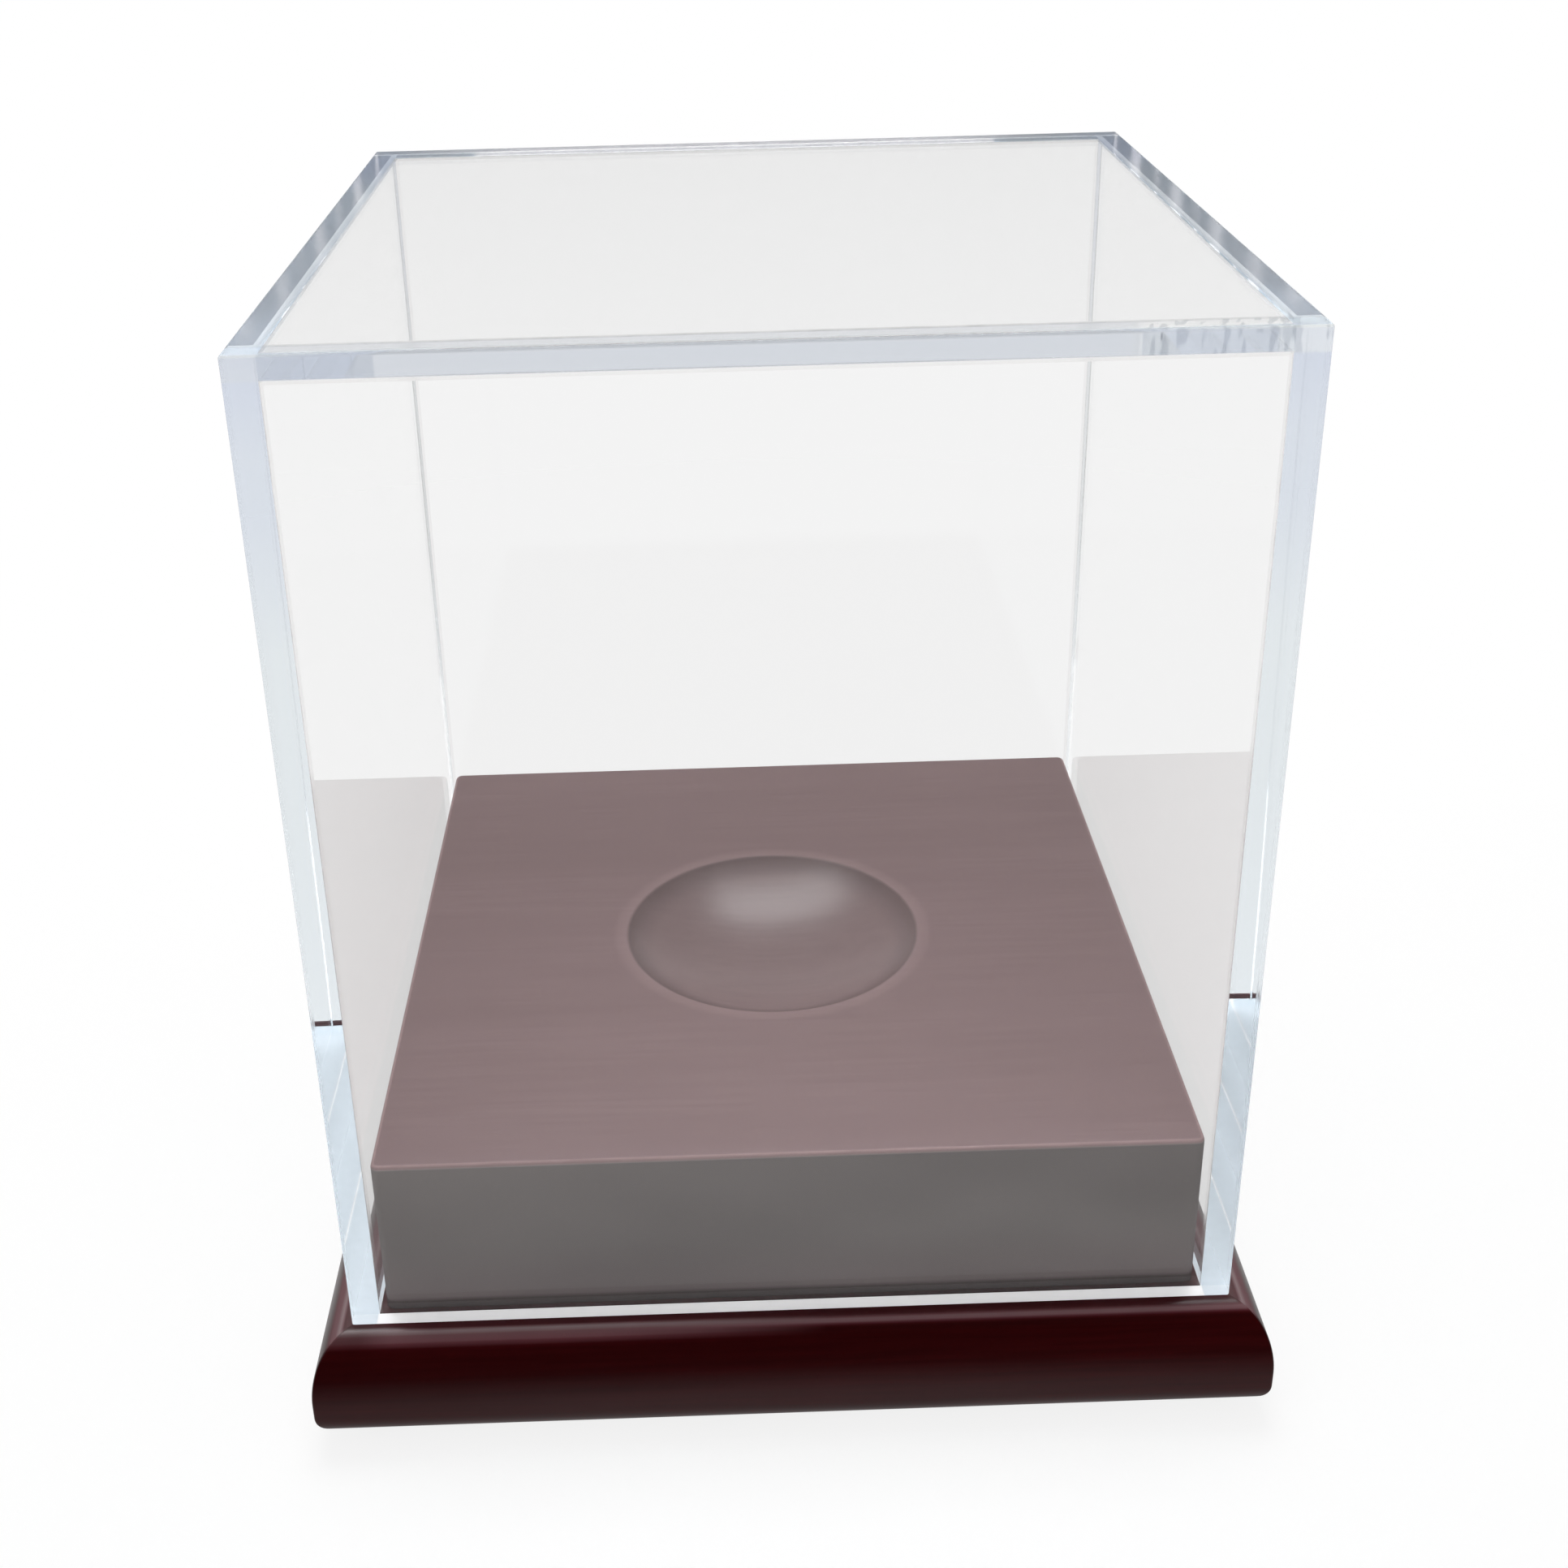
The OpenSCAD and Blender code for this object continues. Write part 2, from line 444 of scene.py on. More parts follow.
def clear_acrylic(settings, name, colour, plain=None, roughness=0.0, waviness=0.02):
    """Polished acrylic: clear, with the slight waviness of cast sheet.

    About half of the light that a plain face would mirror goes through this one instead, except
    where all of it is mirrored inside the sheet. With plain, which holds a Y, a Z and a colour,
    that colour is the tint of all that lies before the Y or below the Z.
    """
    material, tree = new_material(name)
    tint, passed = opaque(colour), opaque(np.sqrt(colour))
    if plain is not None:
        start_y, start_z, plain_colour = plain
        place = axes_of(tree, object_place(tree))
        behind = ranged(tree, place["Y"], start_y, start_y + 0.3 * MM)
        high = ranged(tree, place["Z"], start_z, start_z + 0.1 * MM)
        tinted = maths(tree, "MULTIPLY", behind, high)
        tint = blended(tree, "MIX", opaque(plain_colour), tint, tinted)
        passed = blended(tree, "MIX", opaque(np.sqrt(plain_colour)), passed, tinted)
    finish = {
        "Roughness": roughness,
        "IOR": settings.refraction,
        "Normal": bump(tree, noise(tree, (22, 22, 22)), waviness, 1 * MM),
    }
    clear = {"Base Color": tint, "Transmission Weight": 1.0}
    sheet = node(tree, "ShaderNodeBsdfPrincipled", {**clear, **finish})
    bent = node(tree, "ShaderNodeBsdfRefraction", {"Color": passed, **finish})
    law = {"IOR": finish["IOR"], "Normal": finish["Normal"]}
    mirrored = node(tree, "ShaderNodeFresnel", law).outputs[0]
    open_face = maths(tree, "LESS_THAN", mirrored, 0.98)
    body = mixed(tree, maths(tree, "MULTIPLY", open_face, settings.clearness), sheet, bent)
    show(tree, lit_through(tree, body, (0.96, 0.96, 0.965)))
    return material


def bond_face(settings):
    """Bonded faces: light passes from sheet to sheet unbent and takes up a little of the sheet's tint.

    The top sheet's bonds are darker, and the front one has a row of small bubbles towards its
    right end, where X is past bubble_start. The other bonds' tint darkens with height as painted
    shade, most above 100 millimetres.
    """
    material, tree = new_material("solvent_bond")
    place = axes_of(tree, object_place(tree))
    upper = maths(tree, "GREATER_THAN", place["Z"], settings.top_bond_height)
    # Painted shade: the bonds' tint darkens with height, most above 100 millimetres.
    shades = [
        (14.5, (0.991, 0.992, 0.996)),
        (45.5, (0.978, 0.98, 0.982)),
        (98.5, (0.976, 0.977, 0.979)),
        (112.5, (0.932, 0.937, 0.965)),
        (126.5, (0.932, 0.937, 0.965)),
    ]
    shade = ramp(tree, place["Z"], [(height * MM, colour) for height, colour in shades])
    lower = blended(tree, "MULTIPLY", opaque(settings.bond_colour), shade)
    tint = blended(tree, "MIX", lower, opaque(settings.top_bond_colour), upper)
    start = settings.bubble_start
    right = ranged(tree, place["X"], start - 1 * MM, start + 1 * MM)
    front = maths(tree, "LESS_THAN", place["Y"], -40 * MM)
    here = maths(tree, "MULTIPLY", maths(tree, "MULTIPLY", right, front), upper)
    lighter = blended(tree, "MIX", tint, opaque((0.97, 0.975, 0.975)), here)
    bubble = ranged(tree, noise(tree, (1100, 1100, 260), Detail=1.0), 0.52, 0.58)
    in_bubble = maths(tree, "MULTIPLY", bubble, here)
    colour = blended(tree, "MIX", lighter, opaque((0.87, 0.88, 0.89)), in_bubble)
    show(tree, node(tree, "ShaderNodeBsdfTransparent", {"Color": colour}))
    return material


def dried_solvent(settings):
    """The line along a joint where the solvent squeezed out and dried: clear, slightly grey and uneven."""
    material, tree = new_material("dried_solvent")
    line = node(tree, "ShaderNodeBsdfPrincipled", {
        "Base Color": opaque(settings.bead_colour),
        "Roughness": ranged(tree, noise(tree, (350, 350, 350)), 0, 1, 0.05, 0.3),
        "IOR": settings.refraction,
        "Transmission Weight": 1.0,
    })
    show(tree, lit_through(tree, line, (0.9, 0.9, 0.9)))
    return material


def sawn_acrylic(settings):
    """Sawn ends: white and matt, with fine saw marks across the sheet.

    They also glow with painted light, an emission that stands in for the light that the whole sheet
    gathers and leads down to them. Past the inside of the cover, at the left and the right, they are
    the side sheets' ends, darker and bluer, partly from the tint of the sheet's length and partly as
    painted shade.
    """
    material, tree = new_material("sawn_acrylic")
    marks = ranged(tree, noise(tree, (900, 900, 40)), 0, 1, 0.86, 1.0)
    out_from_middle = maths(tree, "ABSOLUTE", axes_of(tree, object_place(tree))["X"])
    side = ranged(tree, out_from_middle, INNER_HALF, INNER_HALF + 0.2 * MM)
    # Painted shade in part: the side sheets' ends take the darker, bluer side tint.
    tint = blended(tree, "MIX", opaque(settings.sawn_colour), opaque(settings.side_sawn_tint_and_shade), side)
    face = node(tree, "ShaderNodeBsdfPrincipled", {
        "Base Color": blended(tree, "MULTIPLY", tint, marks),
        "Roughness": 0.55,
        "IOR": settings.refraction,
        # Painted glow: these ends emit light though they are no lamp.
        "Emission Color": tint,
        "Emission Strength": settings.painted_edge_glow,
    })
    show(tree, face)
    return material


def lacquered_wood(name, dark, light, coat_roughness, pore_depth):
    """Stained wood under clear lacquer: grain runs along X, with fine fibres and short pores.

    Gives the material, its tree and its shader, whose lacquer's share is still to be set.
    """
    material, tree = new_material(name)
    fibres = noise(tree, (60, 1500, 1500), Detail=4.0)
    bands = noise(tree, (9, 110, 110), Detail=3.0, Distortion=0.4)
    grain = ranged(tree, maths(tree, "MULTIPLY", fibres, bands), 0.12, 0.40)
    wood = node(tree, "ShaderNodeBsdfPrincipled", {
        "Base Color": blended(tree, "MIX", opaque(dark), opaque(light), grain),
        "Roughness": ranged(tree, fibres, 0, 1, 0.42, 0.56),
        "Specular IOR Level": 0.0,
        "Coat Roughness": coat_roughness,
        "Coat IOR": 1.6,
        "Normal": bump(tree, fibres, pore_depth, 0.2 * MM),
    })
    show(tree, wood)
    return material, tree, wood


def stain_of(wood):
    """The colour that a wood's shader takes so far."""
    return wood.inputs["Base Color"].links[0].from_socket


def plinth_lacquer(settings, top):
    """The plinth's lacquer, whose finish follows the depth below the ledge, in millimetres, and the side.

    The ledge and the foot are shinier than the roll, which is shinier on the left and right sides.
    A painted sheen, a pale colour added to the wood's that stands in for a reflection of the bright
    surroundings, lies along the top of the roll, narrower from the front's middle on.
    """
    stains = settings.wood_dark, settings.wood_light
    material, tree, wood = lacquered_wood("cherry_lacquer", *stains, coat_roughness=0.28, pore_depth=0.04)
    place = axes_of(tree, object_place(tree))
    out_x, out_y = [maths(tree, "ABSOLUTE", place[axis]) for axis in "XY"]
    side = maths(tree, "GREATER_THAN", out_x, out_y)
    gloss = [(13.2, 0.44), (10.7, 0.34), (7.7, 0.26), (5.9, 0.15), (4.5, 0.05), (1.4, 0.05), (0.6, 0.15),
             (0.3, 0.3), (0.0, 0.5)]
    front_gloss, side_gloss = [
        factors(tree, place["Z"], [(top - depth * MM, max(share, least)) for depth, share in gloss])
        for least in (0.0, 0.7)
    ]
    tree.links.new(blended(tree, "MIX", front_gloss, side_gloss, side), wood.inputs["Coat Weight"])
    # Painted sheen: pale colour added along the top of the roll for a reflection of the bright surroundings,
    # wider on the sides and the front's left.
    wide = [(1.7, 0.0), (1.3, 0.05), (0.9, 0.34), (0.75, 0.52), (0.6, 0.56), (0.35, 0.6), (0.14, 1.0),
            (0.08, 0.7), (0.03, 0.2), (0.0, 0.2)]
    narrow = [(0.75, 0.0), (0.6, 0.08), (0.48, 0.3), (0.36, 0.66), (0.22, 0.66), (0.14, 0.4), (0.07, 0.14),
              (0.0, 0.1)]
    painted_sheen, thinning = np.array(settings.painted_sheen_colour), np.array([1.0, 1.7, 1.55])
    wide, narrow = [
        ramp(tree, place["Z"], [(top - depth * MM, share ** thinning * painted_sheen) for depth, share in stops])
        for stops in (wide, narrow)
    ]
    along = factors(tree, place["X"], [(-22 * MM, 0.0), (-9 * MM, 0.4), (4 * MM, 1.0)])
    corner = factors(tree, place["X"], [(-50 * MM, 0.45), (-46 * MM, 1.0)])
    front = blended(tree, "MULTIPLY", blended(tree, "MIX", wide, narrow, along), corner)
    painted_sheen_veil = blended(tree, "MIX", front, wide, side)
    tree.links.new(blended(tree, "ADD", stain_of(wood), painted_sheen_veil), wood.inputs["Base Color"])
    return material


def riser_lacquer(settings, foot, top):
    """The riser's duller lacquer, whose finish follows its shape.

    The sides take their own greyer and less even tone, set apart from the top's as painted light for
    how light falls on them, and they darken towards the foot as painted shade, with a painted contact
    shadow along the lowest millimetre. The seat is rubbed glossier. The top's colour is darkened inside
    the seat as painted shade, most just inside its rim, and painted highlights lighten the rim and the
    top edge.
    """
    stains = settings.riser_dark, settings.riser_light
    material, tree, wood = lacquered_wood("riser_lacquer", *stains, coat_roughness=0.27, pore_depth=0.008)
    place = object_place(tree)
    height = axes_of(tree, place)["Z"]
    level = node(tree, "ShaderNodeCombineXYZ", {2: height}).outputs[0]
    out_from_axis = node(tree, "ShaderNodeVectorMath", {0: place, 1: level},
                         operation="DISTANCE").outputs["Value"]
    rim = settings.seat_mouth / 2
    seat_gloss = ranged(tree, out_from_axis, rim - 1 * MM, rim + 0.5 * MM, 0.44, 0.09)
    tree.links.new(seat_gloss, wood.inputs["Coat Weight"])
    # Painted shade and highlight: darker inside the seat, most just inside its rim, and lighter on the rim.
    rings = [(-3.5, 0.95), (-1.4, 0.76), (-0.35, 0.66), (-0.1, 0.94), (0.1, 1.18), (1.2, 1.12), (1.9, 1.0)]
    stain_and_rim_shade = shaded(tree, stain_of(wood), out_from_axis, [(rim + at * MM, value) for at, value in rings])
    patches = ranged(tree, noise(tree, (20, 20, 50), Detail=2.0), 0.3, 0.7, 0.85, 1.15)
    # Painted light: the sides take a tone of their own for how light falls on them.
    side = blended(tree, "MULTIPLY", opaque(settings.riser_side_painted_light), patches)
    # Painted shade: the sides darken towards the foot, with a painted contact shadow along the lowest
    # millimetre.
    side = blended(tree, "MULTIPLY", side, ramp(tree, height, [
        (foot, (0.36, 0.32, 0.33)),
        (foot + 1.0 * MM, (0.38, 0.34, 0.35)),
        (foot + 1.6 * MM, (0.90, 0.82, 0.85)),
        (foot + 5.0 * MM, (0.95, 0.91, 0.92)),
        (foot + 9.0 * MM, (1.0, 1.0, 1.0)),
        (top, (1.0, 1.0, 1.0)),
    ]))
    near_axis = maths(tree, "LESS_THAN", out_from_axis, settings.seat_mouth)
    below = ranged(tree, height, top - 0.5 * MM, top - 0.25 * MM, 0.93, 0.0)
    share = node(tree, "ShaderNodeMix", {0: near_axis, 2: below, 3: 0.0}).outputs[0]
    colour = blended(tree, "MIX", stain_and_rim_shade, side, share)
    # Painted highlight: a lighter line along the riser's top edge, away from the seat.
    painted_edge_highlight = [(top - 0.55 * MM, 1.0), (top - 0.4 * MM, 1.6), (top - 0.03 * MM, 1.6), (top, 1.0)]
    edge_highlighted = shaded(tree, colour, height, painted_edge_highlight)
    tree.links.new(blended(tree, "MIX", edge_highlighted, colour, near_axis), wood.inputs["Base Color"])
    return material


def pressed_felt(settings):
    """Pressed felt: short tangled fibres, whose tone varies with the tangle and a coarser noise."""
    material, tree = new_material("pressed_felt")
    tangle = noise(tree, (900, 900, 900), Detail=6.0, Distortion=1.5)
    both = maths(tree, "ADD", tangle, noise(tree, (70, 70, 70)))
    fibre_tone = ranged(tree, both, 0.6, 1.4, 0.55, 1.9)
    felt = node(tree, "ShaderNodeBsdfPrincipled", {
        "Base Color": blended(tree, "MULTIPLY", opaque(settings.felt_colour), fibre_tone),
        "Roughness": 0.95,
        "Sheen Weight": 0.4,
        "Normal": bump(tree, tangle, 0.6, 0.3 * MM),
    })
    show(tree, felt)
    return material


def zinc_steel():
    """Zinc-plated steel with faint turning marks."""
    material, tree = new_material("zinc_plated_steel")
    cloud = noise(tree, (400, 400, 1800))
    steel = node(tree, "ShaderNodeBsdfPrincipled", {
        "Base Color": ranged(tree, cloud, 0, 1, 0.55, 0.72),
        "Metallic": 1.0,
        "Roughness": ranged(tree, cloud, 0, 1, 0.22, 0.42),
    })
    show(tree, steel)
    return material


def sheet_lines(low, high, cuts, cover_low, cover_high, radius, bead):
    """Grid lines of a sheet along one axis: its ends, the joints and their beads, and the rounded edges.

    A rounded edge has its lines at one radius times tan a from where the round begins, with a from
    0 to 45 degrees.
    """
    offsets = radius * (1 - np.tan(np.radians(np.linspace(0, 45, 5))))
    joints = np.add.outer(cuts, [-bead, 0, bead]).ravel()
    lines = np.concatenate([[low, high], joints, cover_low + offsets, cover_high - offsets])
    lines = lines[(lines >= low - TOUCHING) & (lines <= high + TOUCHING)]
    return np.unique(np.round(lines, 8))


def rounded_into(points, low, high, radius):
    """Each point moved onto a box with rounded edges, if it lies outside it.

    The nearest point of the box less one radius is found, and the point is moved along the line
    from there until it is one radius away.
    """
    core = np.clip(points, low + radius, high - radius)
    away = points - core
    length = np.linalg.norm(away, axis=-1, keepdims=True)
    return np.where(length > radius, core + away * radius / np.maximum(length, 1e-12), points)


def sheet_surface(box, others, cover, settings):
    """Points, faces, finish and smoothness of one sheet, as six grids over its sides.

    Sides that meet another sheet are drawn back by the bond line, and the outside edges but the
    sawn ones are rounded into the cover. Each face is given the finish of what it is. A bead is a
    polished face closer to another sheet than the bead's width, and an end is a narrow side or a
    rounded edge.
    """
    low, high = (np.array(corner) for corner in box)
    cover_low, cover_high = cover
    round_low = cover_low - [0, 0, settings.edge_radius]
    reach = 0.02 * MM

    def distance(point):
        gaps = [np.maximum(0, np.maximum(start - point, point - end)) for start, end in others]
        return min(np.linalg.norm(gap) for gap in gaps)

    middle = (low + high) / 2
    drawn_low, drawn_high = low.copy(), high.copy()
    for axis in range(3):
        for corner, drawn, sign in ((low, drawn_low, -1), (high, drawn_high, 1)):
            beyond = middle.copy()
            beyond[axis] = corner[axis] + sign * reach
            if distance(beyond) < TOUCHING:
                drawn[axis] -= sign * settings.bond_line
    if low[2] <= cover_low[2]:
        drawn_low[2] += 2 * settings.bond_line
    lines = [
        sheet_lines(
            drawn_low[axis],
            drawn_high[axis],
            [edge[axis] for other in others for edge in other if low[axis] <= edge[axis] <= high[axis]],
            cover_low[axis],
            cover_high[axis],
            settings.edge_radius,
            settings.bead_width,
        )
        for axis in range(3)
    ]
    points, faces, finish, smooth, count = [], [], [], [], 0
    for axis in range(3):
        across, along = [other for other in range(3) if other != axis]
        for end, sign in ((drawn_low[axis], -1), (drawn_high[axis], 1)):
            u, v = np.meshgrid(lines[across], lines[along], indexing="ij")
            grid = np.empty((*u.shape, 3))
            grid[..., axis], grid[..., across], grid[..., along] = end, u, v
            index = np.arange(u.size).reshape(u.shape) + count
            quads = np.stack([index[:-1, :-1], index[1:, :-1], index[1:, 1:], index[:-1, 1:]], axis=-1)
            quads = quads.reshape(-1, 4)
            centres = grid.reshape(-1, 3)[quads - count].mean(axis=1)
            if (sign > 0) == (axis == 1):
                quads = quads[:, ::-1]
            beyond = centres + sign * reach * np.eye(3)[axis]
            apart = np.array([distance(point) for point in beyond])
            bonded, bead = apart < TOUCHING, apart < settings.bead_width
            sawn = (axis == 2) & (sign < 0) & (low[2] <= cover_low[2])
            moved = rounded_into(centres, round_low, cover_high, settings.edge_radius) - centres
            rounded = np.linalg.norm(moved, axis=1) > TOUCHING
            narrow = np.full(len(quads), axis != np.argmin(high - low))
            back_top = (narrow | rounded) & (centres[:, 2] > high[2] - 1 * MM) & (low[1] > 0)
            kinds = [bonded, sawn, bead & ~rounded, back_top, narrow | rounded]
            finish.append(np.select(kinds, [BONDED, SAWN, BEAD, BACK_END, END], POLISHED))
            smooth.append(rounded)
            points.append(grid.reshape(-1, 3))
            faces.append(quads)
            count += u.size
    points, faces = merged(np.concatenate(points), np.concatenate(faces))
    points = rounded_into(points, round_low, cover_high, settings.edge_radius)
    return points, faces.tolist(), np.concatenate(finish), np.concatenate(smooth)


class DISPLAYCASE_OT_cover(bpy.types.Operator):
    """Builds the five clear sheets of the cover, bonded edge to face"""

    bl_idname = "display_case.cover"
    bl_label = "Build Cover"

    def execute(self, context):
        settings = context.scene.display_cover
        # Painted shade: the top sheet's back strip takes the dark margin tint, and the rest the sheet's
        # tint.
        painted_back_margin = (45.6 * MM, 129.0 * MM, settings.sheet_colour)
        # Painted shade, in part: the narrow ends at the top, but for the front sheet's, take the dark end
        # tint.
        behind_front = (-48.3 * MM, 127.5 * MM, settings.sheet_colour)
        # Painted shade: the back sheet's top ends are darker still.
        painted_darker_end = [0.85 * value for value in settings.end_tint_and_shade]
        finishes = [
            clear_acrylic(settings, "clear_acrylic", settings.painted_margin_shade, painted_back_margin),
            bond_face(settings),
            sawn_acrylic(settings),
            dried_solvent(settings),
            clear_acrylic(settings, "polished_ends", settings.end_tint_and_shade, behind_front, roughness=0.12),
            clear_acrylic(settings, "back_end", painted_darker_end, roughness=0.35, waviness=0.0),
        ]
        boxes = {piece: corners_of(solid) for piece, solid in WALLS.items()}
        cover = (
            np.min([box[0] for box in boxes.values()], axis=0),
            np.max([box[1] for box in boxes.values()], axis=0),
        )
        for name, solid in WALLS.items():
            others = [box for piece, box in boxes.items() if piece != name]
            points, faces, finish, smooth = sheet_surface(boxes[name], others, cover, settings)
            piece = mesh_piece(name, points, faces, finishes, finish, smooth)
            place_in_frame(piece, "cover", solid)
        return {"FINISHED"}


class DISPLAYCASE_OT_plinth(bpy.types.Operator):
    """Builds the moulded plinth: its edge's profile carried round a rounded rectangle"""

    bl_idname = "display_case.plinth"
    bl_label = "Build Plinth"

    def execute(self, context):
        settings = context.scene.display_base
        low, high = corners_of("plinth")
        half = (high - low)[:2] / 2
        bottom, top = low[2], high[2]
        foot, roll = settings.foot_radius, settings.roll_width
        profile = np.concatenate([
            [(foot + 3 * MM, bottom), (foot + 0.1 * MM, bottom)],
            quarter((foot, bottom), (0, bottom + foot), 16, hollow=True),
            quarter((0, top - settings.roll_height), (roll, top), 32),
            [(roll + 0.1 * MM, top), (roll + 3 * MM, top)],
        ])
        corner = settings.plinth_corner
        rings = carried_round(half, corner, profile, least=corner, corner_steps=8, side_steps=12)
        piece = ring_piece("plinth_moulding", rings, plinth_lacquer(settings, top))
        place_in_frame(piece, "base", "plinth")
        return {"FINISHED"}


class DISPLAYCASE_OT_riser(bpy.types.Operator):
    """Builds the riser and the seat in its top as one surface, from the foot up and into the seat"""

    bl_idname = "display_case.riser"
    bl_label = "Build Riser"

    def execute(self, context):
        settings = context.scene.display_base
        low, high = corners_of("riser_block")
        half = (high - low)[:2] / 2
        bottom, top, edge = low[2], high[2], settings.riser_edge
        steps = {"corner_steps": 10, "side_steps": 24}
        profile = np.concatenate([
            [(0.2 * MM, bottom), (0.05 * MM, bottom), (0, bottom + 0.1 * MM)],
            quarter((0, top - edge), (edge, top), 8),
            [(edge + 0.1 * MM, top), (edge + 1 * MM, top)],
        ])
        block = carried_round(half, settings.riser_corner, profile, **steps)
        seat = self.seat_rings(settings, block[-1], top)
        rings = np.concatenate([block, seat])
        piece = ring_piece("riser_with_seat", rings, riser_lacquer(settings, bottom, top))
        place_in_frame(piece, "base", "riser_block")
        return {"FINISHED"}

    def seat_rings(self, settings, square, top):
        """Rings from the riser's square top to the seat's middle.

        On the flat, a ring is a share of the square and a share of the circle round the seat. The
        lip is an arc that is level with the top at its start and tangent to the seat's sphere at
        its end, and the seat is the sphere: height is its centre less root (radius^2 - distance^2).
        """
        radius, lip = settings.seat_radius, 0.5 * MM
        mouth = settings.seat_mouth / 2
        slope = math.asin(mouth / radius)
        centre = top + radius * math.cos(slope)
        lean = math.acos((radius * math.cos(slope) + lip) / (radius + lip))
        lip_centre = (radius + lip) * math.sin(lean)
        angle = np.linspace(0, lean, 10)
        lip_out = lip_centre - lip * np.sin(angle)
        lip_z = top - lip + lip * np.cos(angle)
        bowl = np.linspace(math.asin(lip_out[-1] / radius), 0, 40)[1:-1]
        bowl_out, bowl_z = radius * np.sin(bowl), centre - radius * np.cos(bowl)
        way = square[:, :2] / np.linalg.norm(square[:, :2], axis=1, keepdims=True)
        share = np.array([0.03, 0.15, 0.4, 0.7, 0.9, 0.98])[:, None, None]
        flat = (1 - share) * square[None, :, :2] + share * way * lip_out[0]
        flat = np.concatenate([flat, np.full((*flat.shape[:2], 1), top)], axis=-1)
        out, z = np.concatenate([lip_out, bowl_out]), np.concatenate([lip_z, bowl_z])
        round_part = np.concatenate([
            way[None] * out[:, None, None],
            np.broadcast_to(z[:, None, None], (len(z), len(way), 1)),
        ], axis=-1)
        return np.concatenate([flat, round_part])


class DISPLAYCASE_OT_screws(bpy.types.Operator):
    """Builds the four countersunk wood screws that hold the riser, with their heads down"""

    bl_idname = "display_case.screws"
    bl_label = "Build Screws"

    def execute(self, context):
        low, high = corners_of("riser_screws")
        head, shank, core = 4.0 * MM, 2.0 * MM, 1.4 * MM
        length = high[2] - low[2]
        places = [(x, y) for x in (low[0] + head, high[0] - head) for y in (low[1] + head, high[1] - head)]
        rings = self.threaded(head, shank, core, length)
        rows, columns = rings.shape[:2]
        single = rings.reshape(-1, 3)
        faces = ring_faces(rows, columns)
        points = np.concatenate([single + (x, y, low[2]) for x, y in places])
        every = [[corner + turn * len(single) for corner in face] for turn in range(4) for face in faces]
        piece = mesh_piece("riser_screw_set", points, every, [zinc_steel()])
        place_in_frame(piece, "base", "riser_screws")
        return {"FINISHED"}

    def threaded(self, head, shank, core, length):
        """Rings of one screw, from the bottom of its drive's cross out over its head's face and up.

        The cross's outline is, in each direction, the nearer of its arm's end and its arm's side. It
        narrows as it sinks in. The radius is then the head's cone, the shank, the core plus a ridge
        whose height is a triangle wave of height over pitch less turn over a full turn, and last a
        taper to the point.
        """
        pitch, plain, taper, ridge_full = 1.6 * MM, 9.0 * MM, length - 4 * MM, shank - core
        brim, point = 0.25 * MM, 0.15 * MM
        cone = head - shank + brim
        arm_end, arm_side = 2.2 * MM, 0.45 * MM
        z = np.concatenate([[0, brim, cone], np.linspace(cone + 0.25 * MM, plain, 6)])
        z = np.concatenate([z, np.linspace(plain, length, 140)[1:]])
        arm_corner = math.atan2(arm_side, arm_end)
        eighth = np.array([0, arm_corner, (arm_corner + math.pi / 4) / 2, math.pi / 4])
        quarter_turn = [*eighth, *(math.pi / 2 - eighth[2:0:-1])]
        turn = np.add.outer(np.arange(4) * math.pi / 2, quarter_turn).ravel()
        body = np.interp(z, [0, brim, cone, plain, plain + pitch, taper, length],
                         [head, head, shank, shank, core, core, point])
        ridge_height = np.interp(z, [plain, plain + pitch, taper, length], [0, ridge_full, ridge_full, 0])
        phase = (z[:, None] / pitch - turn[None] / (2 * math.pi)) % 1
        ridge = np.clip(1 - np.abs(phase - 0.5) * 4, 0, 1)
        off_arm = np.abs((turn + math.pi / 4) % (math.pi / 2) - math.pi / 4)
        cross = np.minimum(arm_end / np.cos(off_arm), arm_side / np.maximum(np.sin(off_arm), 1e-9))
        sunk = [(0.78, 1.6 * MM), (0.82, 1.58 * MM), (1.0, 0.04 * MM), (1.03, 0.0)]
        face = [share * cross for share, _ in sunk] + [np.full(len(turn), head - 0.1 * MM)]
        radius = np.concatenate([face, body[:, None] + ridge_height[:, None] * ridge])
        z = np.concatenate([[depth for _, depth in sunk], [0], z])
        return np.stack([radius * np.cos(turn), radius * np.sin(turn),
                         np.broadcast_to(z[:, None], radius.shape)], axis=-1)


class DISPLAYCASE_OT_felt(bpy.types.Operator):
    """Builds the felt under the plinth, with soft edges"""

    bl_idname = "display_case.felt"
    bl_label = "Build Felt"

    def execute(self, context):
        settings = context.scene.display_base
        low, high = corners_of("base_felt")
        half = (high - low)[:2] / 2
        soft = 0.35 * MM
        profile = np.concatenate([
            [(soft + 2 * MM, low[2]), (soft + 0.1 * MM, low[2])],
            quarter((soft, low[2]), (0, low[2] + soft), 6, hollow=True),
            quarter((0, high[2] - soft), (soft, high[2]), 6),
            [(soft + 0.1 * MM, high[2]), (soft + 2 * MM, high[2])],
        ])
        rings = carried_round(half, 3 * MM, profile, corner_steps=12)
        piece = ring_piece("base_felt_sheet", rings, pressed_felt(settings))
        place_in_frame(piece, "base", "base_felt")
        return {"FINISHED"}


